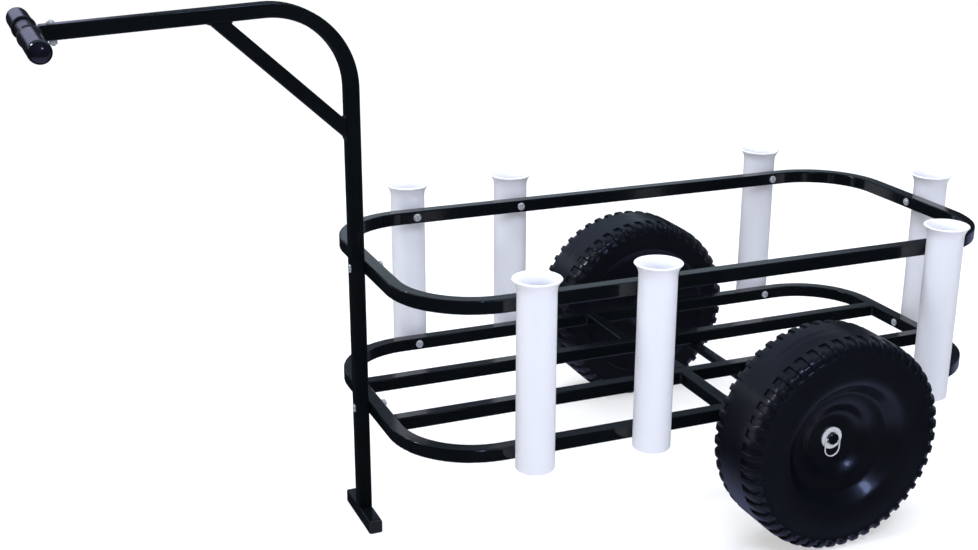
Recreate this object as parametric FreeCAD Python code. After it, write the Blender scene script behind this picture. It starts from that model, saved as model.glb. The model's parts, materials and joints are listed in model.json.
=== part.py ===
import FreeCAD, Part
import math
import os

# Beach cart, millimetres, +Z up.
# Origin: centre of the underside of the foot bar.
# +X runs from the handle end of the cart to its far end, +Y to the side away from "near".
V = FreeCAD.Vector
os.makedirs("parts", exist_ok=True)

# ---------- frame tube ----------
TUBE = 22.2                # outside of the square steel tube
WALL = 1.6
TUBE_R = 2.4               # rounded outside corners of the tube
HALF = TUBE / 2.0
BORE_SQ = TUBE - 2.0 * WALL

# ---------- rails ----------
RAIL_LEN = 1078.0
RAIL_WID = 510.0
RAIL_R = 140.0             # outside corner radius in plan
RAIL_X0 = HALF             # rails start on the +X face of the post
RAIL_X1 = RAIL_X0 + RAIL_LEN
RAIL_XM = RAIL_X0 + RAIL_LEN / 2.0
RAIL_YO = RAIL_WID / 2.0
RAIL_YI = RAIL_YO - TUBE
UPPER_TOP = 452.0
LOWER_TOP = 212.0
UPPER_MID = UPPER_TOP - HALF
LOWER_MID = LOWER_TOP - HALF
SEAM_GAP = 0.6             # open width of the butt joint in each rail
UPPER_SEAM_Y = 96.0
LOWER_SEAM_Y = 104.0
SLEEVE_LEN = 70.0
SLIP = 0.2                 # clearance between a bar and the tube it slides in

# ---------- deck ----------
SLAT_Y = 81.5
CROSS_X = 558.0            # centre line of the near and middle cross pieces
CROSS_FAR_X = 534.0        # the far cross piece is set back by about a tube width

# ---------- post, handle, brace, foot ----------
BEND_R = 122.0             # centre-line radius of the post's bend
BEND_Z = 729.5             # height of the bend's centre
BEND_DEG = 93.2            # the handle droops a little past level
TIP_X = -455.0             # T bar centre
BRACE_POST_Z = 665.7       # brace centre line on the post face
BRACE_DEG = 43.0
FOOT_LEN = 130.0
PLUG_HEAD = 3.0
PLUG_STEM = 12.0

# ---------- T grip ----------
BAR_OD = 28.6
BAR_WALL = 2.0
BAR_HALF = 162.0
GRIP_OD = 33.4
GRIP_HALF = 168.0
GRIP_DOME = 9.0
GRIP_RIM = 2.5
GRIP_RIM_H = 1.0
GRIP_FIT = 0.02            # radial gap between the grip and the bar
NEAR_GRIP_IN = 28.0
FAR_GRIP_IN = 52.0
STUB_SQ = BORE_SQ - 2.0 * SLIP
STUB_LEN = 58.0
HANDLE_END = 15.5          # handle tube stops this far from the T bar centre
TIP_BOLT = 31.5            # T bolt, from the T bar centre

# ---------- bolts ----------
M6_R = 3.0
M6_HOLE = 3.3
M6_AF = 10.0
M6_HEAD = 4.2
M6_NUT = 5.2
M6_WASH_R = 6.0
M6_WASH_T = 1.4
M8_R = 4.0
M8_HOLE = 4.3
M8_AF = 13.0
M8_HEAD_R = 6.8            # low round head
M8_HEAD_H = 2.2
M8_HEAD_FLAT = 3.6         # radius of the flat on top of the head
M8_NUT = 6.5
M8_WASH_R = 8.0
M8_WASH_T = 1.6
TAIL = 2.0                 # thread left showing past a nut
THREAD_FIT = 0.05          # radial gap between a thread and its nut

# ---------- rod holders ----------
HOLD_OD = 60.3
HOLD_ID = 52.5
HOLD_Z0 = 185.5
HOLD_Z1 = 490.0
FLARE_OD = 75.6
FLARE_H = 20.0
LIP_R = 1.6
FOOT_ROUND = 2.5
FLARE_KNEE = 1.6           # how far the flare has opened at 45% of its height
KNEE_AT = 0.45
STOP_H = 8.5               # inner collar at the foot, on which a rod butt rests
STOP_R = 17.5              # drain hole through the collar
HOLD_GAP = 0.1
HOLD_XS_NEAR = (186.5, 386.5, 925.5)
HOLD_XS_FAR = (183.0, 383.0, 922.0)
SCREW_HEAD_R = 7.0
SCREW_HEAD_H = 3.6
SCREW_DOME = 1.6           # height of the coned top of the head
SCREW_TOP_R = 4.6
RECESS_R = 2.6
RECESS_DEEP = 1.4
NUT_R = 6.0
NUT_T = 1.8
NUT_POCKET_R = 6.2
NUT_FACE = HOLD_ID / 2.0 + 0.1

# ---------- axle ----------
AXLE_R = 9.525
AXLE_X = 676.0
AXLE_Z = LOWER_TOP - TUBE - AXLE_R - 0.1
AXLE_END = 366.5
CROSS_HOLE_Y = 363.2
CROSS_HOLE_R = 1.6
AXLE_CHAMFER = 1.0
BRACKET_T = 5.0
BRACKET_W = 50.0
BRACKET_BOTTOM = 17.0      # below the axle centre
BRACKET_ROUND = 15.0
BRACKET_DROP = 1.0         # bracket top below the rail top
AXLE_FIT = 0.02            # radial clearance of the axle in its brackets
SPACER_FIT = 0.15
SIDE_PLAY = 0.3            # between a hub and its washers
SPACER_R = 13.0
WASH_R = 18.6
WASH_T = 2.8
WASH_HOLE = 9.85
HUB_IN = 286.3
HUB_OUT = 357.4
RUN_GAP = 0.075            # radial running clearance, bush on axle
BUSH_R = 12.7

# ---------- wheels ----------
WHEEL_Y = 344.0            # middle plane of the tread
WHEEL_SKIN = 4.0
LUG_N = 48
LUG_R = AXLE_Z             # lug tops touch the ground at Z = 0
BASE_R = LUG_R - 4.3
SHOULDER_R = 170.0
LUG_GROOVE = 11.6
LUG_IN = 31.0              # the smooth band between the two rows is level with the lugs
LUG_OUT = 61.0
VENT_R = 2.5
VENT_AT = 90.0

# ---------- axle rings ----------
RING_HALF = 13.5           # the wire loop: a straight pin, two straight sides, a round bottom
RING_WIRE = 1.2
RING_BEND = 3.0            # bend between the pin and each side
RING_SIDE = 17.0           # the sides end this far below the pin


def export(shape, name):
    shape.exportStep("parts/" + name + ".step")


def box(x0, x1, y0, y1, z0, z1):
    return Part.makeBox(x1 - x0, y1 - y0, z1 - z0, V(x0, y0, z0))


def rod(radius, start, end):
    axis = end.sub(start)
    return Part.makeCylinder(radius, axis.Length, start, axis)


def tube_x(x0, x1, y, z):
    """Open-ended square tube along X."""
    body = box(x0, x1, y - HALF, y + HALF, z - HALF, z + HALF)
    along = [e for e in body.Edges if abs(e.tangentAt(e.FirstParameter).x) > 0.99]
    body = body.makeFillet(TUBE_R, along)
    b = BORE_SQ / 2.0
    return body.cut(box(x0 - 1, x1 + 1, y - b, y + b, z - b, z + b))


def turned(shape, degrees, centre):
    out = shape.copy()
    out.rotate(centre, V(0, 0, 1), degrees)
    return out


def tube_y(y0, y1, x, z):
    """Open-ended square tube along Y."""
    flat = tube_x(y0, y1, 0.0, z)
    out = turned(flat, 90.0, V(0, 0, 0))
    out.translate(V(x, 0, 0))
    return out


def mirrored(shape):
    return shape.mirror(V(0, 0, 0), V(0, 1, 0))


def rounded_plan(inset, z0, z1):
    """Solid block with the rails' plan outline, drawn in by inset."""
    x0 = RAIL_X0 + inset
    x1 = RAIL_X1 - inset
    y1 = RAIL_YO - inset
    r = RAIL_R - inset
    block = box(x0, x1, -y1, y1, z0, z1)
    upright = [e for e in block.Edges if abs(e.tangentAt(e.FirstParameter).z) > 0.99]
    return block.makeFillet(r, upright)


def rail_solid(z_top, seam_y):
    z0 = z_top - TUBE
    ring = rounded_plan(0.0, z0, z_top).cut(rounded_plan(TUBE, z0 - 1, z_top + 1))
    loops = [e for e in ring.Edges if abs(e.BoundBox.ZMax - e.BoundBox.ZMin) < 0.01]
    ring = ring.makeFillet(TUBE_R, loops)
    low, high = z0 + WALL, z_top - WALL
    hollow = rounded_plan(WALL, low, high).cut(rounded_plan(TUBE - WALL, low - 1, high + 1))
    ring = ring.cut(hollow)
    slot = box(RAIL_X1 - TUBE - 1, RAIL_X1 + 1, seam_y - SEAM_GAP / 2, seam_y + SEAM_GAP / 2,
               z0 - 1, z_top + 1)
    return ring.cut(slot)


def sleeve(z_mid, seam_y):
    s = BORE_SQ / 2.0 - SLIP
    xm = RAIL_X1 - HALF
    half = SLEEVE_LEN / 2.0
    y_low = seam_y - half
    y_top = min(seam_y + half, RAIL_YO - RAIL_R)
    return box(xm - s, xm + s, y_low, y_top, z_mid - s, z_mid + s)


def hexagon(af, start, height, axis):
    """Hexagonal prism of width af across flats."""
    radius = af / math.sqrt(3.0)
    corners = []
    for i in range(7):
        a = math.radians(60.0 * i + 30.0)
        corners.append(V(radius * math.cos(a), radius * math.sin(a), 0))
    prism = Part.Face(Part.makePolygon(corners)).extrude(V(0, 0, height))
    turn = FreeCAD.Rotation(V(0, 0, 1), axis)
    prism.Placement = FreeCAD.Placement(start, turn)
    return prism


# ---------- rod holder sites: centre and the direction from the rail into the holder ----------
OUT_Y = RAIL_YO + HOLD_OD / 2.0 + HOLD_GAP
SITES = []
for i, hx in enumerate(HOLD_XS_NEAR):
    SITES.append(("rod_holder_near_%d" % (i + 1), V(hx, -OUT_Y, 0), V(0, -1, 0)))
for i, hx in enumerate(HOLD_XS_FAR):
    SITES.append(("rod_holder_far_%d" % (i + 1), V(hx, OUT_Y, 0), V(0, 1, 0)))
SITES.append(("rod_holder_end", V(RAIL_X1 + HOLD_OD / 2.0 + HOLD_GAP, 0, 0), V(1, 0, 0)))


def screw_axis(centre, way, z):
    """Points on a holder screw's axis: inner rail face, nut face plane."""
    inner = centre.sub(way * (HOLD_OD / 2.0 + HOLD_GAP + TUBE))
    face = centre.sub(way * NUT_FACE)
    return V(inner.x, inner.y, z), V(face.x, face.y, z)


screw_holes = {UPPER_MID: [], LOWER_MID: []}
for name, centre, way in SITES:
    for z in screw_holes:
        a, b = screw_axis(centre, way, z)
        screw_holes[z].append(rod(M6_HOLE, a.sub(way * 2.0), b))


def post_hole(z):
    return rod(M8_HOLE, V(-HALF - 1, 0, z), V(RAIL_X0 + TUBE + 1, 0, z))


# ---------- rails ----------
for label, z_top, z_mid, seam in (("upper", UPPER_TOP, UPPER_MID, UPPER_SEAM_Y),
                                  ("lower", LOWER_TOP, LOWER_MID, LOWER_SEAM_Y)):
    rail = rail_solid(z_top, seam)
    rail = rail.cut(Part.makeCompound(screw_holes[z_mid] + [post_hole(z_mid)]))
    export(rail, label + "_rail")
    export(sleeve(z_mid, seam), label + "_rail_sleeve")

# ---------- deck ----------
DECK_X0 = RAIL_X0 + TUBE
DECK_X1 = RAIL_X1 - TUBE
export(tube_x(DECK_X0, DECK_X1, SLAT_Y, LOWER_MID), "slat_far")
export(tube_x(DECK_X0, DECK_X1, -SLAT_Y, LOWER_MID), "slat_near")
export(tube_y(-RAIL_YI, -SLAT_Y - HALF, CROSS_X, LOWER_MID), "cross_near")
export(tube_y(-SLAT_Y + HALF, SLAT_Y - HALF, CROSS_X, LOWER_MID), "cross_middle")
export(tube_y(SLAT_Y + HALF, RAIL_YI, CROSS_FAR_X, LOWER_MID), "cross_far")


# ---------- post and handle: one bent tube ----------
def at_bend(radius, degrees):
    a = math.radians(degrees)
    return V(-BEND_R + radius * math.cos(a), 0, BEND_Z + radius * math.sin(a))


SLOPE = math.radians(BEND_DEG - 90.0)
ALONG = V(-math.cos(SLOPE), 0, -math.sin(SLOPE))       # from the bend to the T bar
ACROSS = V(-math.sin(SLOPE), 0, math.cos(SLOPE))       # out of the top of the handle
BEND_END = at_bend(BEND_R, BEND_DEG)
TIP_RUN = (BEND_END.x - TIP_X) / math.cos(SLOPE)
TIP = BEND_END.add(ALONG * TIP_RUN)


def bent_bar(half, z0, extra):
    """Bent bar of square section 2 x half along the post's centre line."""
    run = TIP_RUN - HANDLE_END + extra
    outer_end = at_bend(BEND_R + half, BEND_DEG)
    inner_end = at_bend(BEND_R - half, BEND_DEG)
    outer = Part.Arc(at_bend(BEND_R + half, 0), at_bend(BEND_R + half, BEND_DEG / 2), outer_end)
    inner = Part.Arc(inner_end, at_bend(BEND_R - half, BEND_DEG / 2), at_bend(BEND_R - half, 0))
    tip_outer = outer_end.add(ALONG * run)
    tip_inner = inner_end.add(ALONG * run)
    edges = [
        Part.makeLine(V(half, 0, z0), at_bend(BEND_R + half, 0)),
        outer.toShape(),
        Part.makeLine(outer_end, tip_outer),
        Part.makeLine(tip_outer, tip_inner),
        Part.makeLine(tip_inner, inner_end),
        inner.toShape(),
        Part.makeLine(at_bend(BEND_R - half, 0), V(-half, 0, z0)),
        Part.makeLine(V(-half, 0, z0), V(half, 0, z0)),
    ]
    face = Part.Face(Part.Wire(edges))
    face.translate(V(0, -half, 0))
    return face.extrude(V(0, 2 * half, 0))


def side_edges(solid, z0, tip_run):
    """Edges that run along the bent bar, not those around its two ends."""
    out = []
    for e in solid.Edges:
        mid = e.valueAt((e.FirstParameter + e.LastParameter) / 2.0)
        at_foot = abs(mid.z - z0) < 0.01
        at_tip = abs(mid.sub(BEND_END).dot(ALONG) - tip_run) < 0.01
        crosswise = e.BoundBox.YLength > 1.0
        if not (at_foot or at_tip or crosswise):
            out.append(e)
    return out


post = bent_bar(HALF, TUBE, 0.0)
post = post.makeFillet(TUBE_R, side_edges(post, TUBE, TIP_RUN - HANDLE_END))
post = post.cut(bent_bar(BORE_SQ / 2.0, TUBE - 1.0, 5.0))
BOLT_FOOT = TIP.sub(ALONG * TIP_BOLT)
tip_hole = rod(M6_HOLE, BOLT_FOOT.sub(ACROSS * 20.0), BOLT_FOOT.add(ACROSS * 20.0))
post = post.cut(Part.makeCompound([post_hole(UPPER_MID), post_hole(LOWER_MID), tip_hole]))
export(post, "handle_post")

# ---------- brace ----------
BR = math.radians(BRACE_DEG)
BR_DIR = V(-math.cos(BR), 0, math.sin(BR))
BR_FOOT = V(-HALF, 0, BRACE_POST_Z)
brace = tube_x(-30.0, 330.0, 0.0, 0.0)
brace.rotate(V(0, 0, 0), V(0, 1, 0), -(180.0 - BRACE_DEG))
brace.translate(BR_FOOT)
beyond_post = box(-HALF, 200.0, -50.0, 50.0, 500.0, 900.0)
over_handle = box(-400.0, 400.0, -50.0, 50.0, 0.0, 400.0)
over_handle.rotate(V(0, 0, 0), V(0, 1, 0), -(BEND_DEG - 90.0))
over_handle.translate(BEND_END.sub(ACROSS * HALF))
brace = brace.cut(beyond_post).cut(over_handle)
export(brace, "handle_brace")

# ---------- foot ----------
bar_half = FOOT_LEN / 2.0 - PLUG_HEAD
export(tube_y(-bar_half, bar_half, 0.0, HALF), "foot_bar")
head = box(-HALF, HALF, bar_half, bar_half + PLUG_HEAD, 0.0, TUBE)
rim = [e for e in head.Edges if abs(e.tangentAt(e.FirstParameter).y) > 0.99]
head = head.makeFillet(TUBE_R, rim)
s = BORE_SQ / 2.0 - SLIP
stem = box(-s, s, bar_half - PLUG_STEM, bar_half, HALF - s, HALF + s)
plug = head.fuse(stem)
export(Part.makeCompound([plug, mirrored(plug)]), "foot_plugs")


# ---------- weld beads ----------
def bead(corner, way_a, way_b, leg, half_len):
    """Fillet weld of triangular section lying in a corner that runs along Y."""
    a = corner.add(way_a * leg)
    b = corner.add(way_b * leg)
    face = Part.Face(Part.makePolygon([corner, a, b, corner]))
    face.translate(V(0, -half_len, 0))
    return face.extrude(V(0, 2 * half_len, 0))


def brace_corner(side):
    """Where a face of the brace meets the post face, and where it meets the handle."""
    normal = V(math.sin(BR), 0, math.cos(BR)) * (side * HALF)
    start = BR_FOOT.add(normal)
    on_post = start.add(BR_DIR * ((start.x + HALF) / math.cos(BR)))
    under = BEND_END.sub(ACROSS * HALF)
    reach = under.sub(start).dot(ACROSS) / BR_DIR.dot(ACROSS)
    return on_post, start.add(BR_DIR * reach)


beads = []
BEAD_LEG = 4.5
BEAD_HALF = HALF - TUBE_R
up = V(0, 0, 1)
for side in (1, -1):
    low, high = brace_corner(side)
    beads.append(bead(low, BR_DIR, up * side, BEAD_LEG, BEAD_HALF))
    beads.append(bead(high, BR_DIR * -1, ALONG * -side, BEAD_LEG, BEAD_HALF))
export(Part.makeCompound(beads), "weld_beads")


# ---------- T bar, grips and their bolt, built level and then placed on the handle's tip ----------
def at_tip(shape):
    """Local X runs back along the handle towards the post, local Z out of its top."""
    out = shape.copy()
    out.rotate(V(0, 0, 0), V(0, 1, 0), -(BEND_DEG - 90.0))
    out.translate(TIP)
    return out


def turned_y(points):
    """Solid of revolution about the local Y axis from (radius, y) points."""
    ring = [V(r, y, 0) for r, y in points]
    ring.append(ring[0])
    return Part.Face(Part.makePolygon(ring)).revolve(V(0, 0, 0), V(0, 1, 0), 360)


bar = rod(BAR_OD / 2, V(0, -BAR_HALF, 0), V(0, BAR_HALF, 0))
q = STUB_SQ / 2.0
stub = box(0.0, STUB_LEN, -q, q, -q, q)
bar = bar.fuse(stub)
bar = bar.cut(rod(BAR_OD / 2 - BAR_WALL, V(0, -BAR_HALF - 1, 0), V(0, BAR_HALF + 1, 0)))
bar = bar.cut(rod(M6_HOLE, V(TIP_BOLT, 0, -20), V(TIP_BOLT, 0, 20)))
export(at_tip(bar), "t_bar")


def grip(inner_end):
    ro = GRIP_OD / 2.0
    ri = BAR_OD / 2.0 + GRIP_FIT
    dome_from = GRIP_HALF - GRIP_DOME
    points = [(ri, inner_end), (ro + GRIP_RIM_H, inner_end), (ro + GRIP_RIM_H, inner_end + GRIP_RIM),
              (ro, inner_end + GRIP_RIM + 1.0), (ro, dome_from)]
    for i in range(1, 8):
        a = math.radians(90.0 * i / 8.0)
        points.append((ro * math.cos(a) ** 0.6, dome_from + GRIP_DOME * math.sin(a)))
    points += [(0.0, GRIP_HALF), (0.0, BAR_HALF + 0.2), (ri, BAR_HALF + 0.2)]
    return turned_y(points)


export(at_tip(grip(FAR_GRIP_IN)), "grip_far")
export(at_tip(mirrored(grip(NEAR_GRIP_IN))), "grip_near")

top = V(TIP_BOLT, 0, HALF)
bottom = V(TIP_BOLT, 0, -HALF)
washer = rod(M6_WASH_R, top, top.add(up * M6_WASH_T))
shank_end = -HALF - M6_WASH_T - M6_NUT - TAIL
bolt = hexagon(M6_AF, top.add(up * M6_WASH_T), M6_HEAD, up)
bolt = bolt.fuse(washer).fuse(rod(M6_R, V(TIP_BOLT, 0, shank_end), top.add(up * 3.0)))
export(at_tip(bolt), "handle_bolt")
nut = hexagon(M6_AF, V(TIP_BOLT, 0, -HALF - M6_WASH_T - M6_NUT), M6_NUT, up)
nut = nut.fuse(rod(M6_WASH_R, bottom.sub(up * M6_WASH_T), bottom))
nut = nut.cut(rod(M6_R + THREAD_FIT, V(TIP_BOLT, 0, -60), V(TIP_BOLT, 0, 0)))
export(at_tip(nut), "handle_bolt_nut")

# ---------- post bolts ----------
heads = []
nuts = []
x_axis = V(1, 0, 0)
for z in (UPPER_MID, LOWER_MID):
    face = V(-HALF, 0, z)
    back = V(RAIL_X0 + TUBE, 0, z)
    head = Part.makeCone(M8_HEAD_R, M8_HEAD_FLAT, M8_HEAD_H, face, x_axis * -1)
    tail = back.add(x_axis * (M8_WASH_T + M8_NUT + TAIL))
    heads.append(head.fuse(rod(M8_R, face.sub(x_axis), tail)))
    nut = hexagon(M8_AF, back.add(x_axis * M8_WASH_T), M8_NUT, x_axis)
    nut = nut.fuse(rod(M8_WASH_R, back, back.add(x_axis * M8_WASH_T)))
    nuts.append(nut.cut(rod(M8_R + THREAD_FIT, back.sub(x_axis), tail.add(x_axis))))
export(Part.makeCompound(heads), "post_bolts")
export(Part.makeCompound(nuts), "post_bolt_nuts")


# ---------- rod holders ----------
def holder():
    """Flared tube about the Z axis, drawn by its wall section."""
    ro = HOLD_OD / 2.0
    ri = HOLD_ID / 2.0
    rf = FLARE_OD / 2.0
    lip_top_r = rf - LIP_R
    mouth_r = rf - (ro - ri)
    z_neck = HOLD_Z1 - FLARE_H
    z_knee = z_neck + FLARE_H * KNEE_AT
    z_stop = HOLD_Z0 + STOP_H
    lip_mid = LIP_R * math.sqrt(0.5)
    foot_mid = FOOT_ROUND * (1.0 - math.sqrt(0.5))

    def line(a, b):
        return Part.makeLine(V(a[0], 0, a[1]), V(b[0], 0, b[1]))

    def arc(a, b, c):
        return Part.Arc(V(a[0], 0, a[1]), V(b[0], 0, b[1]), V(c[0], 0, c[1])).toShape()

    wall = [
        line((ro, HOLD_Z0 + FOOT_ROUND), (ro, z_neck)),
        arc((ro, z_neck), (ro + FLARE_KNEE, z_knee), (rf, HOLD_Z1 - LIP_R)),
        arc((rf, HOLD_Z1 - LIP_R), (lip_top_r + lip_mid, HOLD_Z1 - LIP_R + lip_mid), (lip_top_r, HOLD_Z1)),
        line((lip_top_r, HOLD_Z1), (mouth_r, HOLD_Z1)),
        arc((mouth_r, HOLD_Z1), (ri + FLARE_KNEE, z_knee + LIP_R), (ri, z_neck)),
        line((ri, z_neck), (ri, z_stop)),
        line((ri, z_stop), (STOP_R, z_stop)),
        line((STOP_R, z_stop), (STOP_R, HOLD_Z0)),
        line((STOP_R, HOLD_Z0), (ro - FOOT_ROUND, HOLD_Z0)),
        arc((ro - FOOT_ROUND, HOLD_Z0), (ro - foot_mid, HOLD_Z0 + foot_mid), (ro, HOLD_Z0 + FOOT_ROUND)),
    ]
    shell = Part.Face(Part.Wire(wall)).revolve(V(0, 0, 0), V(0, 0, 1), 360)
    return Part.Solid(shell) if shell.ShapeType == "Shell" else shell


PLAIN_HOLDER = holder()

screws = []
holder_nuts = []
for name, centre, way in SITES:
    one = PLAIN_HOLDER.copy()
    one.rotate(V(0, 0, 0), V(0, 0, 1), math.degrees(math.atan2(way.y, way.x)))
    one.translate(centre)
    for z in (UPPER_MID, LOWER_MID):
        inner, face = screw_axis(centre, way, z)
        one = one.cut(rod(M6_HOLE, inner, face))
        pocket_end = face.sub(way * (NUT_T + THREAD_FIT))
        one = one.cut(rod(NUT_POCKET_R, pocket_end, face.add(way * 8.0)))
        head_top = inner.sub(way * SCREW_HEAD_H)
        dome_base = inner.sub(way * (SCREW_HEAD_H - SCREW_DOME))
        head = rod(SCREW_HEAD_R, dome_base, inner)
        dome = Part.makeCone(SCREW_HEAD_R, SCREW_TOP_R, SCREW_DOME, dome_base, way * -1)
        recess = rod(RECESS_R, head_top.sub(way), head_top.add(way * RECESS_DEEP))
        shank = rod(M6_R, inner.sub(way), face)
        screws.append(head.fuse(dome).cut(recess).fuse(shank))
        disc = rod(NUT_R, face.sub(way * NUT_T), face)
        holder_nuts.append(disc.cut(rod(M6_R + THREAD_FIT, inner, face.add(way))))
    export(one, name)
export(Part.makeCompound(screws), "holder_screws")
export(Part.makeCompound(holder_nuts), "holder_nuts")


# ---------- axle ----------
def on_axle(radius, y0, y1):
    return rod(radius, V(AXLE_X, y0, AXLE_Z), V(AXLE_X, y1, AXLE_Z))


axle = on_axle(AXLE_R, -AXLE_END, AXLE_END)
ends = [e for e in axle.Edges if e.Closed]
axle = axle.makeChamfer(AXLE_CHAMFER, ends)
for side in (1, -1):
    y = side * CROSS_HOLE_Y
    axle = axle.cut(rod(CROSS_HOLE_R, V(AXLE_X - 20, y, AXLE_Z), V(AXLE_X + 20, y, AXLE_Z)))
export(axle, "axle")

bracket = box(AXLE_X - BRACKET_W / 2, AXLE_X + BRACKET_W / 2, RAIL_YO, RAIL_YO + BRACKET_T,
              AXLE_Z - BRACKET_BOTTOM, LOWER_TOP - BRACKET_DROP)
low_edges = [e for e in bracket.Edges
             if abs(e.tangentAt(e.FirstParameter).y) > 0.99 and e.BoundBox.ZMax < AXLE_Z]
bracket = bracket.makeFillet(BRACKET_ROUND, low_edges)
bracket = bracket.cut(on_axle(AXLE_R + AXLE_FIT, RAIL_YO - 1, RAIL_YO + BRACKET_T + 1))
export(bracket, "axle_bracket_far")
export(mirrored(bracket), "axle_bracket_near")

y_a = RAIL_YO + BRACKET_T + 0.1
y_b = HUB_IN - SIDE_PLAY - WASH_T
spacer = on_axle(SPACER_R, y_a, y_b - 0.1).cut(on_axle(AXLE_R + SPACER_FIT, y_a - 1, y_b + 1))
export(spacer, "axle_spacer_far")
export(mirrored(spacer), "axle_spacer_near")

washers = []
for y0 in (y_b, HUB_OUT + SIDE_PLAY):
    one = on_axle(WASH_R, y0, y0 + WASH_T).cut(on_axle(WASH_HOLE, y0 - 1, y0 + WASH_T + 1))
    washers += [one, mirrored(one)]
export(Part.makeCompound(washers), "axle_washers")


# ---------- wheels: one-piece hollow moulding ----------
# Outline as (radius, distance outwards from the tread's middle plane), outer side first.
def curve(points):
    return [V(r, u, 0) for r, u in points]


OUT_FACE = HUB_OUT - WHEEL_Y
IN_FACE = HUB_IN - WHEEL_Y
SKIN_OUTSIDE = [
    (BUSH_R, OUT_FACE), (36.0, OUT_FACE), (44.0, OUT_FACE + 2.5), (56.0, 24.5), (67.0, 30.4),
    (78.0, 34.4), (85.5, 36.4), (91.0, 39.2), (96.0, 45.8), (100.0, 52.0), (105.5, 57.6),
    (113.0, 61.0), (122.0, 62.0), (140.0, 61.8), (158.0, 59.5), (SHOULDER_R, 57.0), (BASE_R - 1.5, 50.0),
    (BASE_R, 42.0), (BASE_R, LUG_IN), (LUG_R, LUG_IN), (LUG_R, -LUG_IN), (BASE_R, -LUG_IN),
    (BASE_R, -42.0), (BASE_R - 1.5, -50.0), (SHOULDER_R, -57.0), (158.0, -59.5), (140.0, -61.0),
    (128.0, -61.0), (124.0, -57.0), (118.0, -54.0), (60.0, -52.0), (34.0, -52.0),
    (28.0, -54.0), (24.0, IN_FACE), (BUSH_R, IN_FACE),
]
SKIN_INSIDE = [
    (BUSH_R + WHEEL_SKIN, OUT_FACE - 4.0), (37.0, OUT_FACE - 4.0), (46.0, OUT_FACE - 1.0),
    (58.0, 20.8), (69.0, 26.8), (80.0, 30.8), (88.0, 33.2), (94.0, 36.6), (99.5, 43.6),
    (103.5, 49.8), (108.0, 54.0), (114.5, 57.0), (122.0, 58.0), (140.0, 57.8), (156.0, 55.7), (166.5, 53.5),
    (BASE_R - 5.5, 47.5), (BASE_R - 4.0, 39.0), (BASE_R - 4.0, -39.0), (BASE_R - 5.5, -47.5),
    (166.5, -53.5), (156.0, -55.7), (140.0, -57.0), (131.0, -57.0), (127.0, -53.0),
    (119.0, -50.0), (60.0, -48.0), (32.0, -48.0), (24.0, -50.0), (BUSH_R + WHEEL_SKIN, -53.0),
]


def revolved(points):
    ring = curve(points)
    ring.append(ring[0])
    return Part.Face(Part.makePolygon(ring)).revolve(V(0, 0, 0), V(0, 1, 0), 360)


LUG_SECTION = [
    (BASE_R - 2.5, LUG_IN - 1.0), (LUG_R, LUG_IN - 1.0), (LUG_R, 41.0), (LUG_R - 0.6, 46.0),
    (LUG_R - 3.5, 54.5), (LUG_R - 9.0, 59.5), (162.0, LUG_OUT), (161.0, 57.5), (168.0, 56.0),
    (BASE_R - 3.5, 49.0),
]


def wheel():
    body = revolved(SKIN_OUTSIDE)
    crown = revolved(LUG_SECTION)
    pitch = 360.0 / LUG_N
    gaps = []
    for i in range(LUG_N):
        gap = box(150.0, 190.0, LUG_IN, LUG_OUT + 3, -LUG_GROOVE / 2, LUG_GROOVE / 2)
        gap.rotate(V(0, 0, 0), V(0, 1, 0), pitch * i)
        gaps.append(gap)
    lugs = crown.cut(Part.makeCompound(gaps))
    other = mirrored(lugs)
    other.rotate(V(0, 0, 0), V(0, 1, 0), pitch / 2.0)
    body = body.fuse(lugs.Solids + other.Solids)
    body = body.cut(revolved(SKIN_INSIDE))
    vent = rod(VENT_R, V(VENT_AT, -70.0, 0), V(VENT_AT, -20.0, 0))
    return body.cut(vent)


def placed(shape):
    out = shape.copy()
    out.translate(V(AXLE_X, WHEEL_Y, AXLE_Z))
    return out


far_wheel = placed(wheel())
export(far_wheel, "wheel_far")
export(mirrored(far_wheel), "wheel_near")

bush = on_axle(BUSH_R, HUB_IN, HUB_OUT).cut(on_axle(AXLE_R + RUN_GAP, HUB_IN - 1, HUB_OUT + 1))
export(bush, "hub_bush_far")
export(mirrored(bush), "hub_bush_near")

# ---------- axle rings ----------
def loop_path():
    """Closed centre line of the wire loop, hanging from the cross hole."""
    def at(x, z):
        return V(AXLE_X + x, CROSS_HOLE_Y, AXLE_Z + z)

    w = RING_HALF
    b = RING_BEND
    k = b * (1.0 - math.sqrt(0.5))
    return Part.Wire([
        Part.makeLine(at(0, 0), at(w - b, 0)),
        Part.Arc(at(w - b, 0), at(w - k, -k), at(w, -b)).toShape(),
        Part.makeLine(at(w, -b), at(w, -RING_SIDE)),
        Part.Arc(at(w, -RING_SIDE), at(0, -RING_SIDE - w), at(-w, -RING_SIDE)).toShape(),
        Part.makeLine(at(-w, -RING_SIDE), at(-w, -b)),
        Part.Arc(at(-w, -b), at(k - w, -k), at(b - w, 0)).toShape(),
        Part.makeLine(at(b - w, 0), at(0, 0)),
    ])


wire_end = Part.makeCircle(RING_WIRE, V(AXLE_X, CROSS_HOLE_Y, AXLE_Z), V(1, 0, 0))
ring = loop_path().makePipeShell([Part.Wire([wire_end])], True, False)
export(ring, "axle_ring_far")
export(mirrored(ring), "axle_ring_near")
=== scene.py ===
import json
import math
import random

import bmesh
import bpy
from mathutils import Matrix, Vector


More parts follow.
